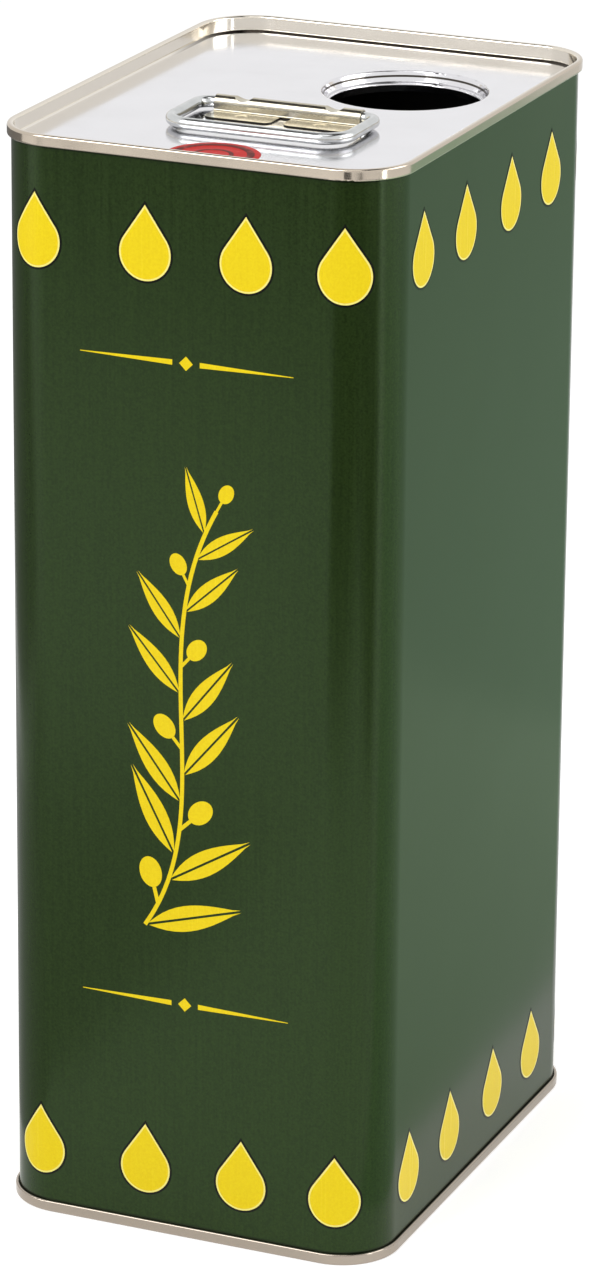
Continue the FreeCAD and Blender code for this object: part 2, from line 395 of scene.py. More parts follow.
@dataclass(frozen=True)
class DrawnTinplate(SeamedTinplate):
    """Tinplate of the lid, with a fine painted dark reflection line half-way down the mouth's wall."""

    _: KW_ONLY
    die_line: str = "#4a453f"
    die_line_mm: Point = (306.05, 0.28)

    def tone(self, look: Look, own: Node) -> Node:
        """Darkens the end's tone in a thin band of heights below the panel, as painted reflection.

        Args:
            look: the material's tree
            own: the sheet's own tone

        Returns:
            The node of the whole tone.
        """
        # The thin dark band on the mouth's wall is painted reflection
        middle, half = (size * MM for size in self.die_line_mm)
        line = look.add("ShaderNodeMath", {0: look.axes["Z"], 1: middle, 2: half}, operation="COMPARE")
        mixed = {SHARE: line, FROM: super().tone(look, own), TO: linear(self.die_line)}
        return look.add("ShaderNodeMix", mixed, data_type="RGBA")


@dataclass(frozen=True)
class ShearedTinplate(RolledTinplate):
    """Tinplate of a stamped strip: bright faces, and dark bare steel where the punch cut the sheet, darkened
    further as painted shadow along the feet's edges.
    """

    _: KW_ONLY
    foot: float
    # Tone of the cut edges: bare steel, darkened further as painted shadow
    cut: str = "#3a3733"
    sheet_mm: float = 0.4
    upright_share: float = 0.5

    def tone(self, look: Look, own: Node) -> Node:
        """Darkens the upright faces of the feet, which are cut edges: partly bare steel, partly painted
        shadow under the feet.

        Args:
            look: the material's tree
            own: the sheet's own tone

        Returns:
            The node of the whole tone.
        """
        surface = look.add("ShaderNodeNewGeometry").outputs["True Normal"]
        facing = look.add("ShaderNodeSeparateXYZ", {0: surface}).outputs["Z"]
        level = look.add("ShaderNodeMath", {0: facing}, operation="ABSOLUTE")
        upright = look.add("ShaderNodeMath", {0: level, 1: self.upright_share}, operation="LESS_THAN")
        # The feet's upright faces get the dark tone: partly bare steel, partly painted shadow under their
        # edges
        foot_top = self.foot + self.sheet_mm * MM
        low = look.add("ShaderNodeMath", {0: look.axes["Z"], 1: foot_top}, operation="LESS_THAN")
        edge = look.add("ShaderNodeMath", {0: upright, 1: low}, operation="MULTIPLY")
        return look.add("ShaderNodeMix", {SHARE: edge, FROM: own, TO: linear(self.cut)}, data_type="RGBA")


@dataclass(frozen=True)
class WeldedStripe(RolledTinplate):
    """Bare tinplate beside a resistance weld: silver at its edges, straw and blue-grey where it got hot."""

    _: KW_ONLY
    heat: str = "#5d5650"
    hot_mm: Point = (0.5, 2.2)
    bead_mm: float = 1.5
    wander_mm: float = 0.8

    def tone(self, look: Look, own: Node) -> Node:
        """Tints the sheet by distance from the weld line at x = 0.

        Args:
            look: the material's tree
            own: the sheet's own tone

        Returns:
            The node of the whole tone.
        """
        away = look.add("ShaderNodeMath", {0: look.axes["X"]}, operation="ABSOLUTE")
        beads = look.add("ShaderNodeTexNoise", look.sized(self.bead_mm))
        wander = {0: beads, 1: self.wander_mm * MM, 2: away}
        edge = look.add("ShaderNodeMath", wander, operation="MULTIPLY_ADD")
        near, far = (at * MM for at in self.hot_mm)
        cool = look.add("ShaderNodeMapRange", {"Value": edge, "From Min": near, "From Max": far})
        return look.add("ShaderNodeMix", {SHARE: cool, FROM: linear(self.heat), TO: own}, data_type="RGBA")


@dataclass(frozen=True)
class ZincWire(BareMetal):
    """Drawn steel wire with bright zinc: cool silver, duller patches and a slightly crystalline skin; its
    fine draw marks are not drawn.
    """

    _: KW_ONLY
    roughness: float = 0.2
    blur: Point = (0.05, 0.08)
    patch_mm: float = 5.0
    grain_mm: float = 0.8
    grain_depth_mm: float = 0.02
    grain_strength: float = 0.08

    def material(self) -> Material:
        """Builds the material.

        Returns:
            The material.
        """
        look = Look(self.name)
        grains = look.add("ShaderNodeTexVoronoi", look.sized(self.grain_mm))
        return self.coat(look, grains, self.grain_depth_mm, self.grain_strength)


@dataclass(frozen=True)
class RingedInk(Finish):
    """Red stamp ink on tinplate in plain rings: strong red, dark where the film is thick, worn where thin."""

    red: str
    dark: str
    thin: str
    _: KW_ONLY
    ring_shares: tuple[float, ...] = (0.34, 0.44, 0.71, 0.87)
    wear_mm: float = 1.6
    wear_range: Point = (0.52, 0.72)
    wear_most: float = 0.55
    film_mm: float = 0.03
    film_strength: float = 0.2
    roughness: float = 0.4
    gloss_level: float = 0.04

    def material(self, centre: Point, radius: float) -> Material:
        """Builds the material, with its rings about the mark's own centre.

        Args:
            centre: the mark's middle in X and Y, in metres
            radius: its radius in metres

        Returns:
            The material.
        """
        look = Look(self.name)
        away = look.away(centre, (0.0, 0.0))
        share = look.add("ShaderNodeMapRange", {"Value": away, "From Max": radius})
        rings = look.add("ShaderNodeValToRGB", {0: share})
        ramp = rings.color_ramp
        ramp.interpolation = "CONSTANT"
        ramp.elements[0].color = ramp.elements[1].color = linear(self.red)
        for index, stop in enumerate(self.ring_shares):
            ramp.elements.new(stop).color = linear(self.red if index % 2 else self.dark)
        worn = look.add("ShaderNodeTexNoise", {**look.sized(self.wear_mm), "Detail": 5.0})
        low, high = self.wear_range
        wear = {"Value": worn, "From Min": low, "From Max": high, "To Max": self.wear_most}
        bare = look.add("ShaderNodeMapRange", wear)
        tone = look.add("ShaderNodeMix", {SHARE: bare, FROM: rings, TO: linear(self.thin)}, data_type="RGBA")
        relief = {"Strength": self.film_strength, "Distance": self.film_mm * MM, "Height": worn}
        film = look.add("ShaderNodeBump", relief)
        gloss = {"Roughness": self.roughness, "Specular IOR Level": self.gloss_level}
        return look.surface({"Base Color": tone, "Normal": film, **gloss})


@dataclass(frozen=True)
class SealingCompound(Finish):
    """Rubber compound dried from latex: matt grey-beige, finely lumpy."""

    lump: str
    smooth: str
    _: KW_ONLY
    lump_mm: float = 0.6
    lump_depth_mm: float = 0.05
    lump_strength: float = 0.4
    roughness: float = 0.8

    def material(self) -> Material:
        """Builds the material.

        Returns:
            The material.
        """
        look = Look(self.name)
        lumps, tone = look.mottle(self.lump_mm, 3.0, self.lump, self.smooth)
        relief = {"Strength": self.lump_strength, "Distance": self.lump_depth_mm * MM, "Height": lumps}
        skin = look.add("ShaderNodeBump", relief)
        return look.surface({"Base Color": tone, "Roughness": self.roughness, "Normal": skin})


@dataclass(frozen=True)
class InsideLacquer(Finish):
    """Stoved lacquer on the inside of the sheet: a dull, dark, brownish grey film."""

    thick: str
    thin: str
    _: KW_ONLY
    flow_mm: float = 9.0
    roughness: Point = (0.4, 0.55)

    def material(self) -> Material:
        """Builds the material.

        Returns:
            The material.
        """
        look = Look(self.name)
        flow, tone = look.mottle(self.flow_mm, 3.0, self.thick, self.thin)
        low, high = self.roughness
        blur = look.add("ShaderNodeMapRange", {"Value": flow, "To Min": low, "To Max": high})
        return look.surface({"Base Color": tone, "Roughness": blur})


@dataclass(frozen=True)
class Palette:
    """Every finish of the tin."""

    print_green: VarnishedPrint = VarnishedPrint(
        "varnished_green_tinplate",
        "#253514",
        "#19260d",
        roughness=0.2,
        gloss_level=0.34,
        gloss_tint="#d6ffc4",
    )
    drop_yellow: VarnishedPrint = VarnishedPrint("varnished_yellow_tinplate", "#f3d81a", "#edcf14")
    drop_pale: VarnishedPrint = VarnishedPrint("varnished_pale_yellow_tinplate", "#fcf08c", "#f8e97c")
    drop_dark: VarnishedPrint = VarnishedPrint("varnished_dark_green_tinplate", "#0e140a", "#0a0f07")
    inside: InsideLacquer = InsideLacquer("stoved_inside_lacquer", "#1c1916", "#26221d")
    lid: DrawnTinplate = DrawnTinplate(
        "bright_tinplate_lid", "#e6e5e8", "#dddcdf", Rolling.ALONG_X, roughness=0.12
    )
    base: SeamedTinplate = SeamedTinplate(
        # The seam's tone here is darkened further as painted reflection
        "bright_tinplate_base", "#e0ddd8", "#d0ccc6", Rolling.ALONG_Y, seam="#a89d91"
    )
    clip: ShearedTinplate = ShearedTinplate(
        "bright_tinplate_clip",
        "#d2ccbc",
        "#b1a995",
        Rolling.ALONG_X,
        roughness=0.17,
        line_mm=0.25,
        patch_mm=4.0,
        foot=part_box("handle_clip")[0][2],
    )
    weld: WeldedStripe = WeldedStripe(
        "welded_tinplate_stripe", "#d8d5cf", "#c4bfb6", Rolling.UPRIGHT, roughness=0.25
    )
    wire: ZincWire = ZincWire("bright_zinc_wire", "#d9dada", "#b6b9b9")
    mark: RingedInk = RingedInk("red_stamp_ink", "#bb1f1a", "#5c140c", "#c24a44")
    compound: SealingCompound = SealingCompound("latex_sealing_compound", "#878275", "#9e998c")


@dataclass(frozen=True)
class Plan:
    """Outline of the tin seen from above, over the outside of its wall, in metres."""

    width: float = 114 * MM
    depth: float = 153 * MM
    corner_radius: float = 16 * MM
    corner_steps: int = 24

    def sockets(self) -> dict[str, float | int]:
        """Values of the inputs that every tree round the tin shares.

        Returns:
            Each value by its input's name.
        """
        return {
            "Width": self.width,
            "Depth": self.depth,
            "Corner Radius": self.corner_radius,
            "Corner Steps": self.corner_steps,
        }


class ShapeTree:
    """A Geometry Nodes tree with named inputs, run once on a mesh to give a plain mesh."""

    KINDS = {float: "NodeSocketFloat", int: "NodeSocketInt", Vector: "NodeSocketVector"}
    SHARP_ANGLE = math.radians(40)

    def __init__(self, name: str, values: dict[str, Any]) -> None:
        """Starts a tree.

        Args:
            name: the tree's name
            values: the value of each named input, a number, vector or material
        """
        self.tree = bpy.data.node_groups.new(name, "GeometryNodeTree")
        self.values = values
        face = self.tree.interface
        for way in ("INPUT", "OUTPUT"):
            face.new_socket("Geometry", in_out=way, socket_type="NodeSocketGeometry")
        self.keys = {}
        for label, value in values.items():
            kind = self.KINDS.get(type(value), "NodeSocketMaterial")
            self.keys[label] = face.new_socket(label, in_out="INPUT", socket_type=kind).identifier
        self.given = add_node(self.tree, "NodeGroupInput").outputs

    def add(self, kind: str, inputs: dict[str | int, Any] | None = None, **settings: Any) -> Node:
        """Adds a node to this tree, as add_node does."""
        return add_node(self.tree, kind, inputs, **settings)

    def path(self) -> Node:
        """Adds the tin's outline as a curve whose normals point outwards.

        Returns:
            The node of the curve, which starts where the right-hand wall meets its rear corner.
        """
        given = self.given
        box = self.add(
            "GeometryNodeCurvePrimitiveQuadrilateral", {"Width": given["Width"], "Height": given["Depth"]}
        )
        rounded = self.add(
            "GeometryNodeFilletCurve",
            {"Curve": box, "Count": given["Corner Steps"], "Radius": given["Corner Radius"]},
            mode="POLY",
        )
        return self.add("GeometryNodeSetCurveNormal", {"Curve": rounded}, mode="Z_UP")

    def close(self, shape: Node, dressing: dict[str, Node | None]) -> None:
        """Ends the tree with smooth shading, real geometry and materials.

        Args:
            shape: the node of the geometry
            dressing: by the name of a material input, the faces that get it, or None for all
        """
        smooth = self.add(
            "GeometryNodeSetShadeSmooth", {"Geometry": shape, "Shade Smooth": True}, domain="FACE"
        )
        angle = self.add("GeometryNodeInputMeshEdgeAngle").outputs["Unsigned Angle"]
        sharp = self.add("FunctionNodeCompare", {0: angle, 1: self.SHARP_ANGLE}, operation="GREATER_THAN")
        edged = self.add(
            "GeometryNodeSetShadeSmooth",
            {"Geometry": smooth, "Selection": sharp, "Shade Smooth": False},
            domain="EDGE",
        )
        last = self.add("GeometryNodeRealizeInstances", {"Geometry": edged})
        for label, faces in dressing.items():
            inputs = {"Geometry": last, "Material": self.given[label]}
            if faces is not None:
                inputs["Selection"] = faces
            last = self.add("GeometryNodeSetMaterial", inputs)
        self.add("NodeGroupOutput", {0: last})

    def run(self, name: str, start: Mesh) -> Piece:
        """Runs the tree on a mesh.

        Args:
            name: the new object's name
            start: the mesh that goes in

        Returns:
            An object at the origin with the plain mesh that came out.
        """
        piece = place(name, start)
        modifier = piece.modifiers.new(self.tree.name, "NODES")
        modifier.node_group = self.tree
        for label, value in self.values.items():
            modifier[self.keys[label]] = value
        made = bpy.data.meshes.new_from_object(piece.evaluated_get(bpy.context.evaluated_depsgraph_get()))
        piece.modifiers.remove(modifier)
        piece.data = made
        made.name = name
        bpy.data.meshes.remove(start)
        return piece


def place(name: str, mesh: Mesh) -> Piece:
    """Puts a mesh in the scene as an object at the origin.

    Args:
        name: the object's name
        mesh: its mesh

    Returns:
        The object.
    """
    piece = bpy.data.objects.new(name, mesh)
    bpy.context.scene.collection.objects.link(piece)
    return piece


def loop_pairs(count: int) -> list[tuple[int, int]]:
    """Numbers of each point and the next one round a closed loop of that many points."""
    return [(i, (i + 1) % count) for i in range(count)]


def slab(name: str, outlines: list[Outline], low: float, high: float) -> Mesh:
    """Makes flat closed plates from outlines.

    Args:
        name: the mesh's name
        outlines: outlines in X and Y, each in counter-clockwise order
        low: height of the lower faces
        high: height of the upper faces

    Returns:
        One mesh with all the plates.
    """
    shape = bmesh.new()
    for outline in outlines:
        below = [shape.verts.new((x, y, low)) for x, y in outline]
        above = [shape.verts.new((x, y, high)) for x, y in outline]
        shape.faces.new(below[::-1])
        shape.faces.new(above)
        for i, j in loop_pairs(len(outline)):
            shape.faces.new((below[i], below[j], above[j], above[i]))
    mesh = bpy.data.meshes.new(name)
    shape.to_mesh(mesh)
    shape.free()
    return mesh


def offset_points(line: Outline, distance: float, closed: bool, least_share: float = 0.35) -> Outline:
    """Moves a line sideways, mitred at its corners.

    Args:
        line: points in order
        distance: how far to move it, to the right of its direction
        closed: whether its end joins its start
        least_share: limit that keeps a mitre at a sharp corner short

    Returns:
        The moved points, as many as before.
    """
    moved = []
    count = len(line)
    for i, (x, y) in enumerate(line):
        steps = []
        for a, b in ((i - 1, i), (i, i + 1)):
            if closed or (a >= 0 and b < count):
                p, q = line[a % count], line[b % count]
                steps.append(Vector((q[0] - p[0], q[1] - p[1])).normalized())
        along = sum(steps, Vector((0, 0))).normalized()
        reach = distance / max(along.dot(steps[0]), least_share)
        moved.append((x + along.y * reach, y - along.x * reach))
    return moved


def arc(centre: Point, radius: float, start: float, end: float, steps: int) -> Outline:
    """Points on an arc.

    Args:
        centre: the arc's centre
        radius: its radius
        start: angle of the first point, in degrees
        end: angle of the last point, in degrees
        steps: number of chords

    Returns:
        The points in order, one more than the chords.
    """
    angles = [math.radians(start + (end - start) * i / steps) for i in range(steps + 1)]
    return [(centre[0] + radius * math.cos(a), centre[1] + radius * math.sin(a)) for a in angles]


@dataclass
class PrintedBody:
    """The body sheet, hooked into both seams, with its weld stripe at the back."""

    plan: Plan
    palette: Palette
    sheet: float = 0.28 * MM
    hook_out: float = 0.62 * MM
    hook_length: float = 1.5 * MM
    hook_centre: float = 0.9 * MM
    hook_steps: int = 12
    height: float = 312 * MM
    stripe_width: float = 10 * MM
    stripe_film: float = 0.03 * MM
    weld_width: float = 1.2 * MM
    weld_top_share: float = 0.6
    weld_rise: float = 0.12 * MM
    weld_foot: float = 4.7 * MM

    def section(self) -> tuple[Outline, list[bool]]:
        """Draws the sheet's section, as distances outside the wall and drops below the floor.

        Returns:
            The closed outline, and for each point whether it lies on the printed side of the wall.
        """
        radius = (self.hook_out + self.sheet / 2) / 2
        middle = self.hook_out - radius
        top = self.height - self.hook_centre
        lower = [(self.hook_out, -self.hook_centre - self.hook_length)]
        lower += arc((middle, -self.hook_centre), radius, 0, 180, self.hook_steps)
        upper = arc((middle, -top), radius, 180, 360, self.hook_steps)
        upper.append((self.hook_out, -top + self.hook_length))
        centre_line = lower + upper
        outer = offset_points(centre_line, -self.sheet / 2, False)
        inner = offset_points(centre_line, self.sheet / 2, False)
        wall = {len(lower) - 1, len(lower)}
        printed = [i in wall for i in range(len(outer))] + [False] * len(inner)
        return outer + inner[::-1], printed

    def build_wall(self) -> Piece:
        """Leads the section round the tin.

        Returns:
            The wall, printed outside and lacquered inside.
        """
        outline, printed = self.section()
        start = bpy.data.meshes.new("body_section")
        start.from_pydata([(x, y, 0) for x, y in outline], loop_pairs(len(outline)), [])
        start.attributes.new("printed", "BOOLEAN", "POINT").data.foreach_set("value", printed)
        finishes = {"Inside": self.palette.inside.material(), "Print": self.palette.print_green.material()}
        tool = ShapeTree("sheet_led_round_the_tin", {**self.plan.sockets(), **finishes})
        section = tool.add("GeometryNodeMeshToCurve", {"Mesh": tool.given["Geometry"]})
        swept = tool.add("GeometryNodeCurveToMesh", {"Curve": tool.path(), "Profile Curve": section})
        # The section runs round the sheet the other way, so the faces are turned to look outward
        turned = tool.add("GeometryNodeFlipFaces", {"Mesh": swept})
        outside = tool.add("GeometryNodeInputNamedAttribute", {"Name": "printed"}, data_type="BOOLEAN")
        tool.close(turned, {"Inside": None, "Print": outside})
        wall = tool.run("body_wall", start)
        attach(wall, "tin")
        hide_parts("body_shell")
        return wall

    def build_stripe(self) -> Piece:
        """Makes the bare stripe down the back, with the lap weld along its middle.

        Returns:
            The stripe, on the wall.
        """
        half, bead = self.stripe_width / 2, self.weld_width / 2
        shoulder = bead * self.weld_top_share
        film, rise = self.stripe_film, self.weld_rise
        right = [(half, -film), (half, film), (bead, film), (shoulder, rise)]
        section = right + [(-x, out) for x, out in reversed(right)]
        outline = [(x, self.plan.depth / 2 + out) for x, out in section]
        mesh = slab("weld_stripe", [outline], self.weld_foot, self.height - self.weld_foot)
        mesh.materials.append(self.palette.weld.material())
        stripe = place("weld_stripe", mesh)
        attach(stripe, "tin")
        return stripe


@dataclass
class PrintedDrops:
    """One row of printed drops round the wall, spaced a little unevenly, with a wider gap at the weld."""

    plan: Plan
    palette: Palette
    row: DropRow
    width: float = 15.0 * MM
    height: float = 20.8 * MM
    edge: float = 0.5 * MM
    halo: float = 0.6 * MM
    pitch: float = 30.5 * MM
    lead: float = 25.2 * MM
    shifts_mm: tuple[float, ...] = (0, 0, 0, 0, 0, 0, 0.7, 2.6, 1.2, -1.4, -1.2, -1.2, 1.5, 1.5, 0, 0)
    proud: float = 0.06 * MM
    sunk: float = 0.04 * MM
    belly_steps: int = 36
    flank_shares: tuple[float, ...] = (0.25, 0.5, 0.75)
    fill_shares: tuple[float, ...] = (0.78, 0.56, 0.34, 0.14)

    def outline(self) -> Outline:
        """Draws a drop from its tip at the origin: straight flanks that run into a round belly.

        Returns:
            The outline in counter-clockwise order.
        """
        radius = self.width / 2
        centre = radius - self.height
        flank = math.degrees(math.asin(radius / -centre))
        belly = arc((0, centre), radius, 180 - flank, 360 + flank, self.belly_steps)
        left, right = belly[0], belly[-1]
        down = [(left[0] * s, left[1] * s) for s in self.flank_shares]
        up = [(right[0] * s, right[1] * s) for s in reversed(self.flank_shares)]
        return [(0.0, 0.0)] + down + belly + up

    def drop(self) -> Mesh:
        """Makes one drop as a thin closed plate of nested loops, with its zone on each face.

        Returns:
            A mesh whose faces have the attribute zone: 0 in the fill, 1 in the pale edge, 2 in the dark line.
        """
        edge = self.outline()
        inside = offset_points(edge, -self.edge, True)
        centre = (0.0, self.width / 2 - self.height)
        loops = [offset_points(edge, self.halo, True), edge, inside]
        for share in self.fill_shares:
            loops.append([(x * share, centre[1] + (y - centre[1]) * share) for x, y in inside])
        count = len(edge)
        points, faces, zones = [], [], []
        for level in (self.proud, -self.sunk):
            for loop in loops:
                points += [(x, y, level) for x, y in loop]
            points.append((*centre, level))
        layer = len(loops) * count + 1
        for top in (True, False):
            base = 0 if top else layer
            for k in range(len(loops)):
                for i, j in loop_pairs(count):
                    a, b = base + k * count + i, base + k * count + j
                    last = k + 1 == len(loops)
                    face = (a, b, base + layer - 1) if last else (a, b, b + count, a + count)
                    faces.append(face if top else face[::-1])
                    zones.append(max(2 - k, 0))
        for i, j in loop_pairs(count):
            faces.append((i, layer + i, layer + j, j))
            zones.append(2)
        mesh = bpy.data.meshes.new("drop")
        mesh.from_pydata(points, [], faces)
        mesh.attributes.new("zone", "INT", "FACE").data.foreach_set("value", zones)
        return mesh

    def lay(self, tool: ShapeTree) -> Node:
        """Lays the drops in a flat row, with X as the distance from the weld and Y as the height.

        Args:
            tool: the tree that gets them

        Returns:
            The node of the row.
        """
        given = tool.given
        spacing = {"Count": given["Count"], "Start Location": given["Lead"], "Offset": given["Pitch"]}
        line = tool.add("GeometryNodeMeshLine", spacing, mode="OFFSET")
        # The artwork was laid out by eye: each drop has its own small shift along the wall
        index = tool.add("GeometryNodeInputIndex")
        shift = tool.add("GeometryNodeIndexSwitch", {"Index": index}, data_type="FLOAT")
        while len(shift.index_switch_items) < len(self.shifts_mm):
            shift.index_switch_items.new()
        for number, value in enumerate(self.shifts_mm):
            shift.inputs[str(number)].default_value = value * MM
        aside = tool.add("ShaderNodeCombineXYZ", {"X": shift})
        spaced = tool.add("GeometryNodeSetPosition", {"Geometry": line, "Offset": aside})
        laid = tool.add("GeometryNodeInstanceOnPoints", {"Points": spaced, "Instance": given["Geometry"]})
        return tool.add("GeometryNodeRealizeInstances", {"Geometry": laid})

    def build(self) -> Piece:
        """Repeats the drop along the wall and bends each one round it.

        Returns:
            The row of drops.
        """
        row_name = self.row.name.lower()
        tool = ShapeTree(
            f"drops_round_the_wall_{row_name}",
            {
                **self.plan.sockets(),
                "Count": len(self.shifts_mm),
                "Pitch": Vector((self.pitch, 0, 0)),
                "Lead": Vector((self.lead, 0, 0)),
                "Tip Height": self.row.value * MM,
                "Fill": self.palette.drop_yellow.material(),
                "Edge": self.palette.drop_pale.material(),
                "Halo": self.palette.drop_dark.material(),
            },
        )
        given = tool.given
        flat = self.lay(tool)
        spot = tool.add("ShaderNodeSeparateXYZ", {0: tool.add("GeometryNodeInputPosition")}).outputs
        # The curve starts at the rear right corner: a corner's arc and half a straight run lead to the weld
        arc_share = QUARTER_TURN - 1
        corner = tool.add("ShaderNodeMath", {0: given["Corner Radius"], 1: arc_share}, operation="MULTIPLY")
        weld = tool.add("ShaderNodeMath", {0: given["Width"], 1: 0.5, 2: corner}, operation="MULTIPLY_ADD")
        along = tool.add("ShaderNodeMath", {0: weld, 1: spot["X"]}, operation="ADD")
        path = tool.path()
        length = tool.add("GeometryNodeCurveLength", {0: path})
        round_once = tool.add("ShaderNodeMath", {0: along, 1: length}, operation="FLOORED_MODULO")
        here = {"Curves": path, "Length": round_once}
        wall = tool.add("GeometryNodeSampleCurve", here, mode="LENGTH").outputs
        lift = tool.add("ShaderNodeVectorMath", {0: wall["Normal"], "Scale": spot["Z"]}, operation="SCALE")
        height = tool.add("ShaderNodeMath", {0: spot["Y"], 1: given["Tip Height"]}, operation="ADD")
        rise = tool.add("ShaderNodeCombineXYZ", {"Z": height})
        on_wall = tool.add("ShaderNodeVectorMath", {0: wall["Position"], 1: lift}, operation="ADD")
        bent = tool.add("ShaderNodeVectorMath", {0: on_wall, 1: rise}, operation="ADD")
        row = tool.add("GeometryNodeSetPosition", {"Geometry": flat, "Position": bent})
        zone = tool.add("GeometryNodeInputNamedAttribute", {"Name": "zone"}, data_type="INT")
        dressing = {"Fill": None}
        for number, label in ((1, "Edge"), (2, "Halo")):
            dressing[label] = tool.add(
                "FunctionNodeCompare", {2: zone, 3: number}, data_type="INT", operation="EQUAL"
            )
        tool.close(row, dressing)
        drops = tool.run(f"printed_drops_{row_name}", self.drop())
        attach(drops, "tin")
        return drops


@dataclass
class FrontOrnament:
    """A plain olive sprig between two swelled rules, printed on the narrow front face."""

    plan: Plan
    palette: Palette
    foot: Point = (-12 * MM, 92 * MM)
    foot_lean: Point = (12 * MM, 128 * MM)
    tip_lean: Point = (-14 * MM, 172 * MM)
    tip: Point = (9 * MM, 214 * MM)
    stem_width: float = 1.2 * MM
    stem_steps: int = 48
    leaf_length: float = 30 * MM
    leaf_width: float = 7.4 * MM
    leaf_vein: float = 0.7 * MM
    leaf_steps: int = 12
    leaf_root_share: float = 0.04
    leaf_end_share: float = 0.985
    leaf_fullness: float = 0.8
    leaf_count: int = 17
    leaf_spread: float = math.radians(40)
    tip_share: float = 0.99
    tip_scale: float = 0.62
    olive_radius: float = 3.4 * MM
    olive_stretch: float = 1.35
    olive_reach: float = 9.5 * MM
    olive_steps: int = 40
    rule_heights: tuple[float, ...] = (254 * MM, 70 * MM)
    rule_length: float = 62 * MM
    rule_width: float = 1.5 * MM
    rule_gap: float = 4 * MM
    rule_end_share: float = 1 / 8
    film: float = 0.03 * MM

    def leaf(self) -> Mesh:
        """Makes a slender leaf along X in two halves, with its vein left open.

        Returns:
            A mesh of two closed plates.
        """
        halves = []
        vein = self.leaf_vein / 2
        root = self.leaf_root_share
        for side in (1, -1):
            rim = []
            for i in range(1, self.leaf_steps + 1):
                t = i / self.leaf_steps
                swell = math.sin(math.pi * t ** self.leaf_fullness) * self.leaf_width / 2
                rim.append((self.leaf_length * (root + (1 - root) * t), side * max(swell, vein)))
            inner_end = (rim[-1][0] * self.leaf_end_share, side * vein)
            outline = rim + [inner_end, (self.leaf_length * root, side * vein)]
            halves.append(outline[::-1] if side > 0 else outline)
        return slab("leaf", halves, -self.film, self.film)

    def olive(self, tool: ShapeTree) -> Node:
        """Adds one flat olive on its stalk, along X from the origin.

        Args:
            tool: the tree that gets it

        Returns:
            The node of the olive with its stalk.
        """
        given = tool.given
        disc = tool.add(
            "GeometryNodeMeshCylinder",
            {"Vertices": self.olive_steps, "Radius": given["Olive Radius"], "Depth": given["Film"]},
            fill_type="NGON",
        )
        oval = {"Translation": given["Olive Reach"], "Scale": given["Olive Stretch"]}
        fruit = tool.add("GeometryNodeTransform", {"Geometry": disc, **oval})
        bar = tool.add("GeometryNodeMeshCube", {"Size": given["Stalk Size"]})
        stalk = tool.add("GeometryNodeTransform", {"Geometry": bar, "Translation": given["Stalk Middle"]})
        return tool.add("GeometryNodeJoinGeometry", {0: [fruit, stalk]})

    def growth(self, tool: ShapeTree, stem: Node) -> list[Node]:
        """Sets leaves and olives along the stem, on one side and the other in turn.

        Args:
            tool: the tree that gets them
            stem: the stem's curve

        Returns:
            The node of the leaves and the node of the olives.
        """
        count = tool.given["Leaf Count"]
        spots = tool.add("GeometryNodeCurveToPoints", {"Curve": stem, "Count": count}, mode="COUNT")
        index = tool.add("GeometryNodeInputIndex")
        parity = tool.add("ShaderNodeMath", {0: index, 1: 2.0}, operation="MODULO")
        side = tool.add("ShaderNodeMath", {0: parity, 1: 2.0, 2: -1.0}, operation="MULTIPLY_ADD")
        last = tool.add("ShaderNodeMath", {0: count, 1: 1.0}, operation="SUBTRACT")
        share = tool.add("ShaderNodeMath", {0: index, 1: last}, operation="DIVIDE")
        # The last leaf goes straight on from the tip
        below_tip = tool.add("FunctionNodeCompare", {0: share, 1: self.tip_share}, operation="LESS_THAN")
        lean = tool.add("ShaderNodeMath", {0: side, 1: tool.given["Leaf Spread"]}, operation="MULTIPLY")
        lean = tool.add("ShaderNodeMath", {0: lean, 1: below_tip}, operation="MULTIPLY")
        heading = tool.add(
            "FunctionNodeAlignRotationToVector", {"Vector": spots.outputs["Tangent"]}, axis="X"
        )
        turn = tool.add("FunctionNodeEulerToRotation", {0: tool.add("ShaderNodeCombineXYZ", {"Z": lean})})
        facing = tool.add("FunctionNodeRotateRotation", {0: heading, 1: turn}, rotation_space="LOCAL")
        taper = tool.add("ShaderNodeMapRange", {"Value": share, "To Min": 1.0, "To Max": self.tip_scale})
        # Every third place bears an olive
        third = tool.add("ShaderNodeMath", {0: index, 1: 3.0}, operation="MODULO")
        bearing = tool.add("FunctionNodeCompare", {0: third, 1: 1.0}, operation="EQUAL")
        leafy = tool.add("FunctionNodeBooleanMath", {0: bearing}, operation="NOT")
        grown = []
        stance = {"Points": spots, "Rotation": facing, "Scale": taper}
        for chosen, shape in ((leafy, tool.given["Geometry"]), (bearing, self.olive(tool))):
            inputs = {**stance, "Selection": chosen, "Instance": shape}
            grown.append(tool.add("GeometryNodeInstanceOnPoints", inputs))
        return grown

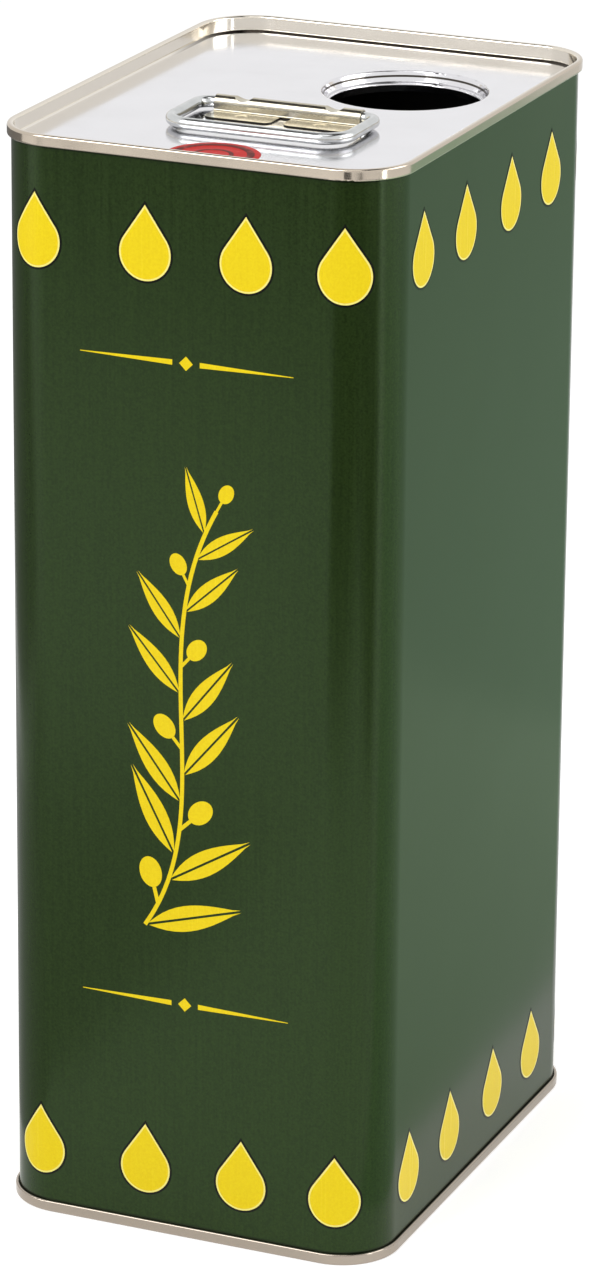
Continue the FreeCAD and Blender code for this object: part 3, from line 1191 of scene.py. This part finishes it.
    def build_sprig(self, ink: Material) -> Piece:
        """Makes the bent stem with its leaves and olives, and lays the sprig on the front face.

        Args:
            ink: the printing ink

        Returns:
            The sprig.
        """
        stalk = self.olive_reach - self.olive_radius * self.olive_stretch
        tool = ShapeTree(
            "leaves_along_a_stem",
            {
                "Foot": Vector((*self.foot, 0)),
                "Foot Lean": Vector((*self.foot_lean, 0)),
                "Tip Lean": Vector((*self.tip_lean, 0)),
                "Tip": Vector((*self.tip, 0)),
                "Leaf Count": self.leaf_count,
                "Leaf Spread": self.leaf_spread,
                "Stem Width": self.stem_width,
                "Film": 2 * self.film,
                "Olive Radius": self.olive_radius,
                "Olive Stretch": Vector((self.olive_stretch, 1, 1)),
                "Olive Reach": Vector((self.olive_reach, 0, 0)),
                "Stalk Size": Vector((stalk, self.stem_width, 2 * self.film)),
                "Stalk Middle": Vector((stalk / 2, 0, 0)),
                "Front Face": Vector((0, -self.plan.depth / 2, 0)),
                "Ink": ink,
            },
        )
        given = tool.given
        stem = tool.add(
            "GeometryNodeCurvePrimitiveBezierSegment",
            {
                "Resolution": self.stem_steps,
                "Start": given["Foot"],
                "Start Handle": given["Foot Lean"],
                "End Handle": given["Tip Lean"],
                "End": given["Tip"],
            },
        )
        upright = tool.add("GeometryNodeSetCurveNormal", {"Curve": stem}, mode="Z_UP")
        flat = tool.add(
            "GeometryNodeCurvePrimitiveQuadrilateral", {"Width": given["Stem Width"], "Height": given["Film"]}
        )
        twig = tool.add(
            "GeometryNodeCurveToMesh", {"Curve": upright, "Profile Curve": flat, "Fill Caps": True}
        )
        whole = tool.add("GeometryNodeJoinGeometry", {0: [twig, *self.growth(tool, stem)]})
        on_face = {"Translation": given["Front Face"], "Rotation": (QUARTER_TURN, 0, 0)}
        printed = tool.add("GeometryNodeTransform", {"Geometry": whole, **on_face})
        tool.close(printed, {"Ink": None})
        return tool.run("front_sprig", self.leaf())

    def build_rules(self, ink: Material) -> Piece:
        """Makes the rules above and below the sprig: two tapering bars with a lozenge between them.

        Args:
            ink: the printing ink

        Returns:
            Both rules, on the front face.
        """
        half, wide, gap = self.rule_length / 2, self.rule_width / 2, self.rule_gap
        end, tip = wide * self.rule_end_share, gap / 2
        right = [(gap, wide), (gap, -wide), (half, -end), (half, end)]
        left = [(-x, y) for x, y in reversed(right)]
        lozenge = [(0, -tip), (tip, 0), (0, tip), (-tip, 0)]
        outlines = []
        for height in self.rule_heights:
            for outline in (right, left, lozenge):
                outlines.append([(x, y + height) for x, y in outline])
        mesh = slab("front_rules", outlines, -self.film, self.film)
        upright = Matrix.Rotation(QUARTER_TURN, 4, "X")
        mesh.transform(Matrix.Translation((0, -self.plan.depth / 2, 0)) @ upright)
        mesh.materials.append(ink)
        return place("front_rules", mesh)

    def build(self) -> list[Piece]:
        """Makes the whole ornament.

        Returns:
            Its pieces.
        """
        ink = self.palette.drop_yellow.material()
        pieces = [self.build_sprig(ink), self.build_rules(ink)]
        for piece in pieces:
            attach(piece, "tin")
        return pieces


@dataclass
class LidMark:
    """The round red mark at the front of the lid: a thin film with a raised rim and a raised middle ring."""

    palette: Palette
    profile_shares: tuple[Point, ...] = (
        (0.33, 0.6), (0.35, 0.85), (0.43, 0.85), (0.45, 0.6), (0.7, 0.6),
        (0.72, 1.0), (0.86, 1.0), (0.88, 0.7), (0.98, 0.7), (1.0, 0.0),
    )
    steps: int = 96

    def build(self) -> Piece:
        """Turns the profile about the middle of the mark's place on the lid.

        Returns:
            The mark, lying on the lid.
        """
        low, high = (Vector(corner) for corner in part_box("lid_roundel"))
        centre, radius, film = (low + high) / 2, (high.x - low.x) / 2, high.z - low.z
        shape = bmesh.new()
        rings = []
        for out, rise in self.profile_shares:
            ring = arc((centre.x, centre.y), radius * out, 0, 360, self.steps)[:-1]
            rings.append([shape.verts.new((x, y, low.z + rise * film)) for x, y in ring])
        for inner, outer in zip(rings, rings[1:]):
            for i, j in loop_pairs(self.steps):
                shape.faces.new((inner[i], outer[i], outer[j], inner[j])).smooth = True
        shape.faces.new(rings[0])
        shape.faces.new(rings[-1][::-1])
        mesh = bpy.data.meshes.new("lid_mark")
        shape.to_mesh(mesh)
        shape.free()
        mesh.materials.append(self.palette.mark.material((centre.x, centre.y), radius))
        mark = place("lid_mark", mesh)
        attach(mark, "tin")
        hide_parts("lid_roundel")
        return mark


@dataclass
class MetalParts:
    """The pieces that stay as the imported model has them, and only get their finish."""

    palette: Palette

    def dress(self) -> None:
        """Puts a finish on each carried-over node."""
        compound = self.palette.compound.material()
        finishes = {
            "top_end": self.palette.lid.material(),
            "bottom_end": self.palette.base.material(),
            "handle_clip": self.palette.clip.material(),
            "bail_handle": self.palette.wire.material(),
            "top_seam_compound": compound,
            "bottom_seam_compound": compound,
        }
        for name, material in finishes.items():
            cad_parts[name].material_slots[0].material = material
            LOG.info("dressed %s in %s", name, material.name)


@dataclass(frozen=True)
class Softbox:
    """A studio lamp aimed at the tin, placed by compass bearing from the front towards the right."""

    name: str
    bearing: float
    elevation: float
    distance: float
    width: float
    height: float
    radiance: float
    aim: Place = (0.0, 0.0, 0.16)

    def build(self) -> Piece:
        """Makes the lamp.

        Returns:
            The lamp.
        """
        lamp = bpy.data.lights.new(self.name, "AREA")
        lamp.shape = "RECTANGLE"
        lamp.size, lamp.size_y = self.width, self.height
        lamp.energy = self.radiance * math.pi * self.width * self.height
        holder = bpy.data.objects.new(self.name, lamp)
        bearing, rise = math.radians(self.bearing), math.radians(self.elevation)
        level = math.cos(rise)
        out = Vector((math.sin(bearing) * level, -math.cos(bearing) * level, math.sin(rise)))
        turn = (-out).to_track_quat("-Z", "Y").to_matrix().to_4x4()
        holder.matrix_world = Matrix.Translation(Vector(self.aim) + out * self.distance) @ turn
        bpy.context.scene.collection.objects.link(holder)
        return holder


@dataclass(frozen=True)
class Flag:
    """A level card, seen only in reflections: dark ones give metal its lines, pale ones tone the varnish."""

    name: str
    centre: Place
    half_sizes: Point
    tone: str
    roughness: float = 0.9

    def build(self) -> Piece:
        """Makes the card.

        Returns:
            The card.
        """
        material = bpy.data.materials.new(self.name)
        material.use_nodes = True
        shader = material.node_tree.nodes["Principled BSDF"]
        shader.inputs["Base Color"].default_value = linear(self.tone)
        shader.inputs["Roughness"].default_value = self.roughness
        x, y, z = self.centre
        wide, deep = self.half_sizes
        corners = [(x + a * wide, y + b * deep, z) for a, b in ((-1, -1), (1, -1), (1, 1), (-1, 1))]
        mesh = bpy.data.meshes.new(self.name)
        mesh.from_pydata(corners, [], [(0, 1, 2, 3)])
        mesh.materials.append(material)
        card = place(self.name, mesh)
        card.visible_camera = card.visible_diffuse = card.visible_shadow = False
        return card


@dataclass
class Studio:
    """White sweep, soft lamps and the camera of the photograph."""

    fill: float = 0.55
    floor_glow: float = 0.3
    floor_lift: float = 0.15
    floor_tone: str = "#f4f4f4"
    floor_radius: float = 4.0
    floor_steps: int = 64
    softboxes: tuple[Softbox, ...] = (
        Softbox("key_right", 105, 32, 1.1, 0.7, 0.7, 2.2),
        Softbox("top", 10, 82, 1.3, 0.5, 0.5, 2.0),
        Softbox("fill_front", -28, 46, 1.4, 0.9, 0.9, 3.7),
        Softbox("strip_right", 73, 6, 0.8, 0.07, 0.5, 6.0),
    )
    flags: tuple[Flag, ...] = (
        Flag("flag_overhead", (0.0, 0.0, 1.7), (0.8, 0.8), "#3a3836"),
        Flag("flag_far_front", (0.30, -0.74, 0.02), (0.40, 0.28), "#141414"),
        Flag("flag_far_right", (0.68, -0.33, 0.02), (0.31, 0.13), "#141414"),
        Flag("flag_far_left", (-0.40, -0.81, 0.02), (0.30, 0.14), "#141414"),
        Flag("flag_left_near", (-0.24, 0.2, 0.005), (0.15, 0.6), "#c6c6c6"),
        Flag("flag_left_rear", (-0.95, 0.35, 0.02), (0.55, 0.75), "#8c8c8c"),
        Flag("flag_corner_front", (0.26, -1.28, 0.02), (0.13, 0.17), "#141414"),
        Flag("flag_right_near", (0.45, 0.13, 0.005), (0.365, 0.23), "#d2eed3"),
        Flag("flag_right_rear", (0.45, 0.78, 0.005), (0.365, 0.42), "#b8d7be"),
    )
    camera_place_mm: Place = (590.31, -1383.71, 676.80)
    yaw: float = 23.07
    pitch: float = 19.232
    roll: float = 0.52
    lens: float = 158.32
    sensor: float = 36.0
    clip_range: Point = (0.05, 50.0)

    def seen(self, tree: NodeTree) -> Node:
        """Adds the light path test that is 1 for camera, glossy and transmission rays.

        Args:
            tree: the tree that gets it

        Returns:
            The node of the test.
        """
        rays = add_node(tree, "ShaderNodeLightPath").outputs
        mirrors = {0: rays["Is Glossy Ray"], 1: rays["Is Transmission Ray"]}
        mirrored = add_node(tree, "ShaderNodeMath", mirrors, operation="MAXIMUM")
        return add_node(tree, "ShaderNodeMath", {0: rays["Is Camera Ray"], 1: mirrored}, operation="MAXIMUM")

    def build_world(self) -> None:
        """Makes the world: white where it is seen, dimmer as a lamp."""
        world = bpy.data.worlds.new("white_sweep")
        world.use_nodes = True
        tree = world.node_tree
        tree.nodes.clear()
        level = add_node(tree, "ShaderNodeMapRange", {"Value": self.seen(tree), "To Min": self.fill})
        sky = add_node(tree, "ShaderNodeBackground", {"Color": (1, 1, 1, 1), "Strength": level})
        add_node(tree, "ShaderNodeOutputWorld", {"Surface": sky})
        bpy.context.scene.world = world

    def build_floor(self) -> Piece:
        """Makes the pale floor, lifted to white where it is seen, with the tin's soft shadow kept.

        Returns:
            The floor.
        """
        material = bpy.data.materials.new("white_paper_floor")
        material.use_nodes = True
        tree = material.node_tree
        tree.nodes.clear()
        paper = add_node(tree, "ShaderNodeBsdfDiffuse", {"Color": linear(self.floor_tone)})
        seen = self.seen(tree)
        level = add_node(tree, "ShaderNodeMath", {0: seen, 1: self.floor_glow}, operation="MULTIPLY")
        direct = add_node(tree, "ShaderNodeLightPath").outputs["Is Camera Ray"]
        lifted = add_node(
            tree, "ShaderNodeMath", {0: direct, 1: self.floor_lift, 2: level}, operation="MULTIPLY_ADD"
        )
        glow = add_node(tree, "ShaderNodeEmission", {"Color": (1, 1, 1, 1), "Strength": lifted})
        both = add_node(tree, "ShaderNodeAddShader", {0: paper, 1: glow})
        add_node(tree, "ShaderNodeOutputMaterial", {"Surface": both})
        mesh = bpy.data.meshes.new("floor")
        ring = arc((0, 0), self.floor_radius, 0, 360, self.floor_steps)[:-1]
        mesh.from_pydata([(x, y, 0) for x, y in ring], [], [list(range(len(ring)))])
        mesh.materials.append(material)
        floor = place("floor", mesh)
        return floor

    def build_camera(self) -> Piece:
        """Makes the camera where the photograph was taken.

        Returns:
            The camera.
        """
        lens = bpy.data.cameras.new("photo_camera")
        lens.sensor_width, lens.lens = self.sensor, self.lens
        lens.clip_start, lens.clip_end = self.clip_range
        yaw, pitch, roll = (math.radians(angle) for angle in (self.yaw, self.pitch, self.roll))
        flat = math.cos(pitch)
        ahead = Vector((-math.sin(yaw) * flat, math.cos(yaw) * flat, -math.sin(pitch)))
        level = Vector((math.cos(yaw), math.sin(yaw), 0))
        upright = level.cross(ahead)
        right = level * math.cos(roll) + upright * math.sin(roll)
        up = upright * math.cos(roll) - level * math.sin(roll)
        turn = Matrix((right, up, -ahead)).transposed().to_4x4()
        camera = bpy.data.objects.new("photo_camera", lens)
        camera.matrix_world = Matrix.Translation(Vector(self.camera_place_mm) * MM) @ turn
        bpy.context.scene.collection.objects.link(camera)
        bpy.context.scene.camera = camera
        return camera

    def build(self) -> None:
        """Makes everything round the tin."""
        self.build_world()
        self.build_floor()
        for item in self.softboxes + self.flags:
            item.build()
        self.build_camera()
        bpy.context.scene.view_settings.view_transform = "Standard"


def main() -> None:
    """Builds and dresses each sub-assembly in order, then the studio."""
    logging.basicConfig(level=logging.INFO, format="%(name)s: %(message)s")
    plan, palette = Plan(), Palette()
    body = PrintedBody(plan, palette)
    made = [body.build_wall(), body.build_stripe()]
    for row in DropRow:
        made.append(PrintedDrops(plan, palette, row).build())
    made += FrontOrnament(plan, palette).build()
    made.append(LidMark(palette).build())
    for piece in made:
        LOG.info("%s: %d faces", piece.name, len(piece.data.polygons))
    MetalParts(palette).dress()
    Studio().build()


if __name__ == "__main__":
    main()
